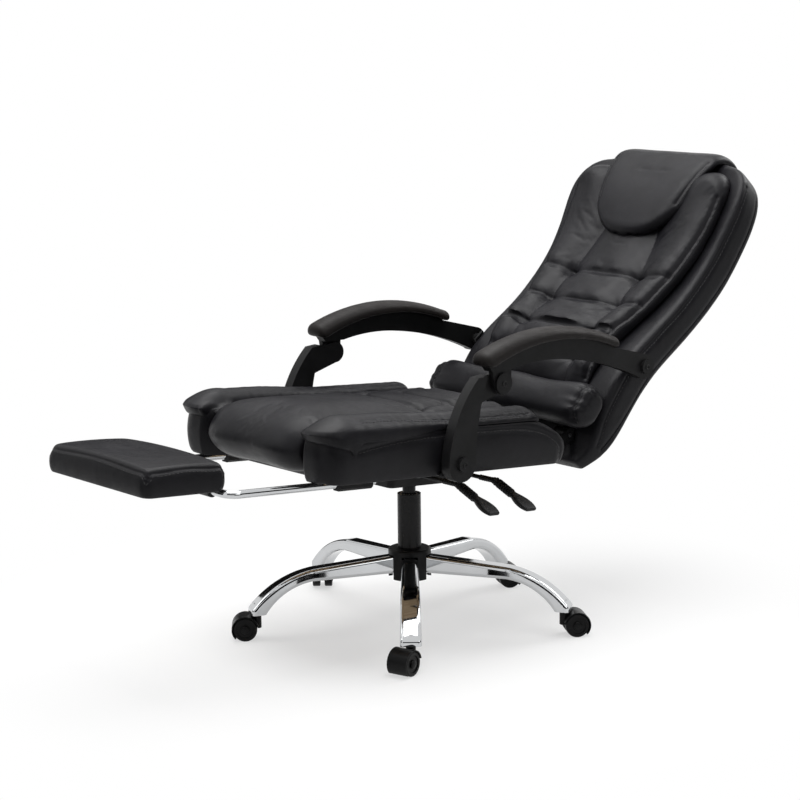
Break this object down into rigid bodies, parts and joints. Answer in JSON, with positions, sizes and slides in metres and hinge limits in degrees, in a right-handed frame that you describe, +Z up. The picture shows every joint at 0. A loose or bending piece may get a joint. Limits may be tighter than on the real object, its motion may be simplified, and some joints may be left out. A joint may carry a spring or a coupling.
{
  "type": "office chair with footrest",
  "caption": "Reclining padded office chair on a chromed star base with casters, linked armrests, a headrest, a lumbar bolster and a slide-out flip-over footrest.",
  "frame": {"origin": "on the floor under the middle of the gas lift column", "axes": "+Z up, -Y the way the sitter faces, +X to the sitter's left, the side with the levers"},
  "size_m": [0.7282, 1.6608, 0.9592],
  "materials": {
    "chrome": "polished chrome plate",
    "black_steel": "satin black powder coat",
    "column_black": "smooth satin black",
    "plain_steel": "ground steel",
    "black_plastic": "fine moulded grain",
    "caster_nylon": "moulded nylon",
    "bush_plastic": "natural plastic",
    "board_wood": "bare plywood",
    "black_leather": "soft sheen coated leather",
    "arm_pad_skin": "matte moulded skin"
  },
  "bodies": {
    "base": {"star_base": "chrome", "hub_cover": "black_plastic", "gas_lift_tube": "column_black", "guide_bush": "bush_plastic", "thrust_bearing": "plain_steel"},
    "spindle": {"gas_lift_rod": "plain_steel"},
    "seat": {"gas_lift_cylinder": "column_black", "tilt_mechanism": "black_steel", "mechanism_bolts": "plain_steel", "lever_pivots": "plain_steel", "seat_board": "board_wood", "seat_base": "black_leather", "seat_pad": "black_leather", "footrest_guides": "black_plastic", "hinge_brackets": "black_steel", "hinge_pins": "plain_steel", "arm_brackets": "black_steel", "post_bolts": "black_plastic"},
    "height_lever": {"height_lever_rod": "black_steel", "height_lever_grip": "black_plastic"},
    "recline_lever": {"recline_lever_rod": "black_steel", "recline_lever_grip": "black_plastic"},
    "footrest_slide": {"footrest_frame": "chrome"},
    "footrest": {"footrest_board": "black_steel", "footrest_pad": "black_leather"},
    "back": {"back_frame": "black_steel", "back_shell": "black_leather", "back_cushion": "black_leather", "bolster": "black_leather", "headrest": "black_leather", "arm_rear_bolts": "black_plastic"},
    "post_left": {"arm_post_left": "black_plastic"},
    "arm_left": {"arm_frame_left": "black_plastic", "arm_pad_left": "arm_pad_skin", "elbow_bolt_left": "black_plastic"},
    "post_right": {"arm_post_right": "black_plastic"},
    "arm_right": {"arm_frame_right": "black_plastic", "arm_pad_right": "arm_pad_skin", "elbow_bolt_right": "black_plastic"},
    "caster_1": {"caster_1_hood": "caster_nylon", "caster_1_pins": "plain_steel"},
    "wheel_1a": {"caster_1_wheel_a": "caster_nylon"},
    "wheel_1b": {"caster_1_wheel_b": "caster_nylon"},
    "caster_2": {"caster_2_hood": "caster_nylon", "caster_2_pins": "plain_steel"},
    "wheel_2a": {"caster_2_wheel_a": "caster_nylon"},
    "wheel_2b": {"caster_2_wheel_b": "caster_nylon"},
    "caster_3": {"caster_3_hood": "caster_nylon", "caster_3_pins": "plain_steel"},
    "wheel_3a": {"caster_3_wheel_a": "caster_nylon"},
    "wheel_3b": {"caster_3_wheel_b": "caster_nylon"},
    "caster_4": {"caster_4_hood": "caster_nylon", "caster_4_pins": "plain_steel"},
    "wheel_4a": {"caster_4_wheel_a": "caster_nylon"},
    "wheel_4b": {"caster_4_wheel_b": "caster_nylon"},
    "caster_5": {"caster_5_hood": "caster_nylon", "caster_5_pins": "plain_steel"},
    "wheel_5a": {"caster_5_wheel_a": "caster_nylon"},
    "wheel_5b": {"caster_5_wheel_b": "caster_nylon"}
  },
  "joints": [
    {"name": "swivel", "type": "hinge", "parent": "base", "child": "spindle", "pos_m": [0, 0, 0.115], "axis": [0, 0, 1], "continuous": true},
    {"name": "height", "type": "slide", "parent": "spindle", "child": "seat", "axis": [0, 0, 1], "range_m": [0, 0.09]},
    {"name": "height_lever_pull", "type": "hinge", "parent": "seat", "child": "height_lever", "pos_m": [0.072, -0.0378, 0.34186], "axis": [0, -0.9969, 0.0785], "range_deg": [0, 4], "stiffness_Nm_per_rad": 4, "springref_deg": -2.86},
    {"name": "recline_lever_pull", "type": "hinge", "parent": "seat", "child": "recline_lever", "pos_m": [0.072, 0.06489, 0.33378], "axis": [0, -0.9969, 0.0785], "range_deg": [0, 4], "stiffness_Nm_per_rad": 4, "springref_deg": -2.86},
    {"name": "footrest_push_in", "type": "slide", "parent": "seat", "child": "footrest_slide", "axis": [0, 0.9969, -0.0785], "range_m": [0, 0.25]},
    {"name": "footrest_flip", "type": "hinge", "parent": "footrest_slide", "child": "footrest", "pos_m": [0, -0.60324, 0.40943], "axis": [1, 0, 0], "range_deg": [0, 180]},
    {"name": "recline", "type": "hinge", "parent": "seat", "child": "back", "pos_m": [0, 0.32, 0.387], "axis": [1, 0, 0], "range_deg": [0, 32]},
    {"name": "post_left_swing", "type": "hinge", "parent": "seat", "child": "post_left", "pos_m": [0, -0.098, 0.405], "axis": [1, 0, 0], "range_deg": [0, 32]},
    {"name": "arm_left_level", "type": "hinge", "parent": "post_left", "child": "arm_left", "pos_m": [0, 0.012, 0.555], "axis": [1, 0, 0], "range_deg": [-32, 0]},
    {"name": "post_right_swing", "type": "hinge", "parent": "seat", "child": "post_right", "pos_m": [0, -0.098, 0.405], "axis": [1, 0, 0], "range_deg": [0, 32]},
    {"name": "arm_right_level", "type": "hinge", "parent": "post_right", "child": "arm_right", "pos_m": [0, 0.012, 0.555], "axis": [1, 0, 0], "range_deg": [-32, 0]},
    {"name": "caster_1_swivel", "type": "hinge", "parent": "base", "child": "caster_1", "pos_m": [0.25509, -0.22175, 0.055], "axis": [0, 0, 1], "continuous": true},
    {"name": "wheel_1a_roll", "type": "hinge", "parent": "caster_1", "child": "wheel_1a", "pos_m": [0.2613, -0.24493, 0.025], "axis": [0.9659, 0.2588, 0], "continuous": true},
    {"name": "wheel_1b_roll", "type": "hinge", "parent": "caster_1", "child": "wheel_1b", "pos_m": [0.2613, -0.24493, 0.025], "axis": [0.9659, 0.2588, 0], "continuous": true},
    {"name": "caster_2_swivel", "type": "hinge", "parent": "base", "child": "caster_2", "pos_m": [0.28972, 0.17408, 0.055], "axis": [0, 0, 1], "continuous": true},
    {"name": "wheel_2a_roll", "type": "hinge", "parent": "caster_2", "child": "wheel_2a", "pos_m": [0.30244, 0.19444, 0.025], "axis": [-0.848, 0.5299, 0], "continuous": true},
    {"name": "wheel_2b_roll", "type": "hinge", "parent": "caster_2", "child": "wheel_2b", "pos_m": [0.30244, 0.19444, 0.025], "axis": [-0.848, 0.5299, 0], "continuous": true},
    {"name": "caster_3_swivel", "type": "hinge", "parent": "base", "child": "caster_3", "pos_m": [-0.07603, 0.32934, 0.055], "axis": [0, 0, 1], "continuous": true},
    {"name": "wheel_3a_roll", "type": "hinge", "parent": "caster_3", "child": "wheel_3a", "pos_m": [-0.06627, 0.35126, 0.025], "axis": [-0.9135, 0.4067, 0], "continuous": true},
    {"name": "wheel_3b_roll", "type": "hinge", "parent": "caster_3", "child": "wheel_3b", "pos_m": [-0.06627, 0.35126, 0.025], "axis": [-0.9135, 0.4067, 0], "continuous": true},
    {"name": "caster_4_swivel", "type": "hinge", "parent": "base", "child": "caster_4", "pos_m": [-0.33671, 0.02946, 0.055], "axis": [0, 0, 1], "continuous": true},
    {"name": "wheel_4a_roll", "type": "hinge", "parent": "caster_4", "child": "wheel_4a", "pos_m": [-0.35483, 0.0452, 0.025], "axis": [-0.6561, -0.7547, 0], "continuous": true},
    {"name": "wheel_4b_roll", "type": "hinge", "parent": "caster_4", "child": "wheel_4b", "pos_m": [-0.35483, 0.0452, 0.025], "axis": [-0.6561, -0.7547, 0], "continuous": true},
    {"name": "caster_5_swivel", "type": "hinge", "parent": "base", "child": "caster_5", "pos_m": [-0.13207, -0.31113, 0.055], "axis": [0, 0, 1], "continuous": true},
    {"name": "wheel_5a_roll", "type": "hinge", "parent": "caster_5", "child": "wheel_5a", "pos_m": [-0.14684, -0.33004, 0.025], "axis": [0.788, -0.6157, 0], "continuous": true},
    {"name": "wheel_5b_roll", "type": "hinge", "parent": "caster_5", "child": "wheel_5b", "pos_m": [-0.14684, -0.33004, 0.025], "axis": [0.788, -0.6157, 0], "continuous": true}
  ],
  "couplings": [
    {"joint": "footrest_flip", "follows": "footrest_push_in", "rad_per_m": 12.566},
    {"joint": "post_left_swing", "follows": "recline", "ratio": 1},
    {"joint": "arm_left_level", "follows": "recline", "ratio": -1},
    {"joint": "post_right_swing", "follows": "recline", "ratio": 1},
    {"joint": "arm_right_level", "follows": "recline", "ratio": -1}
  ]
}
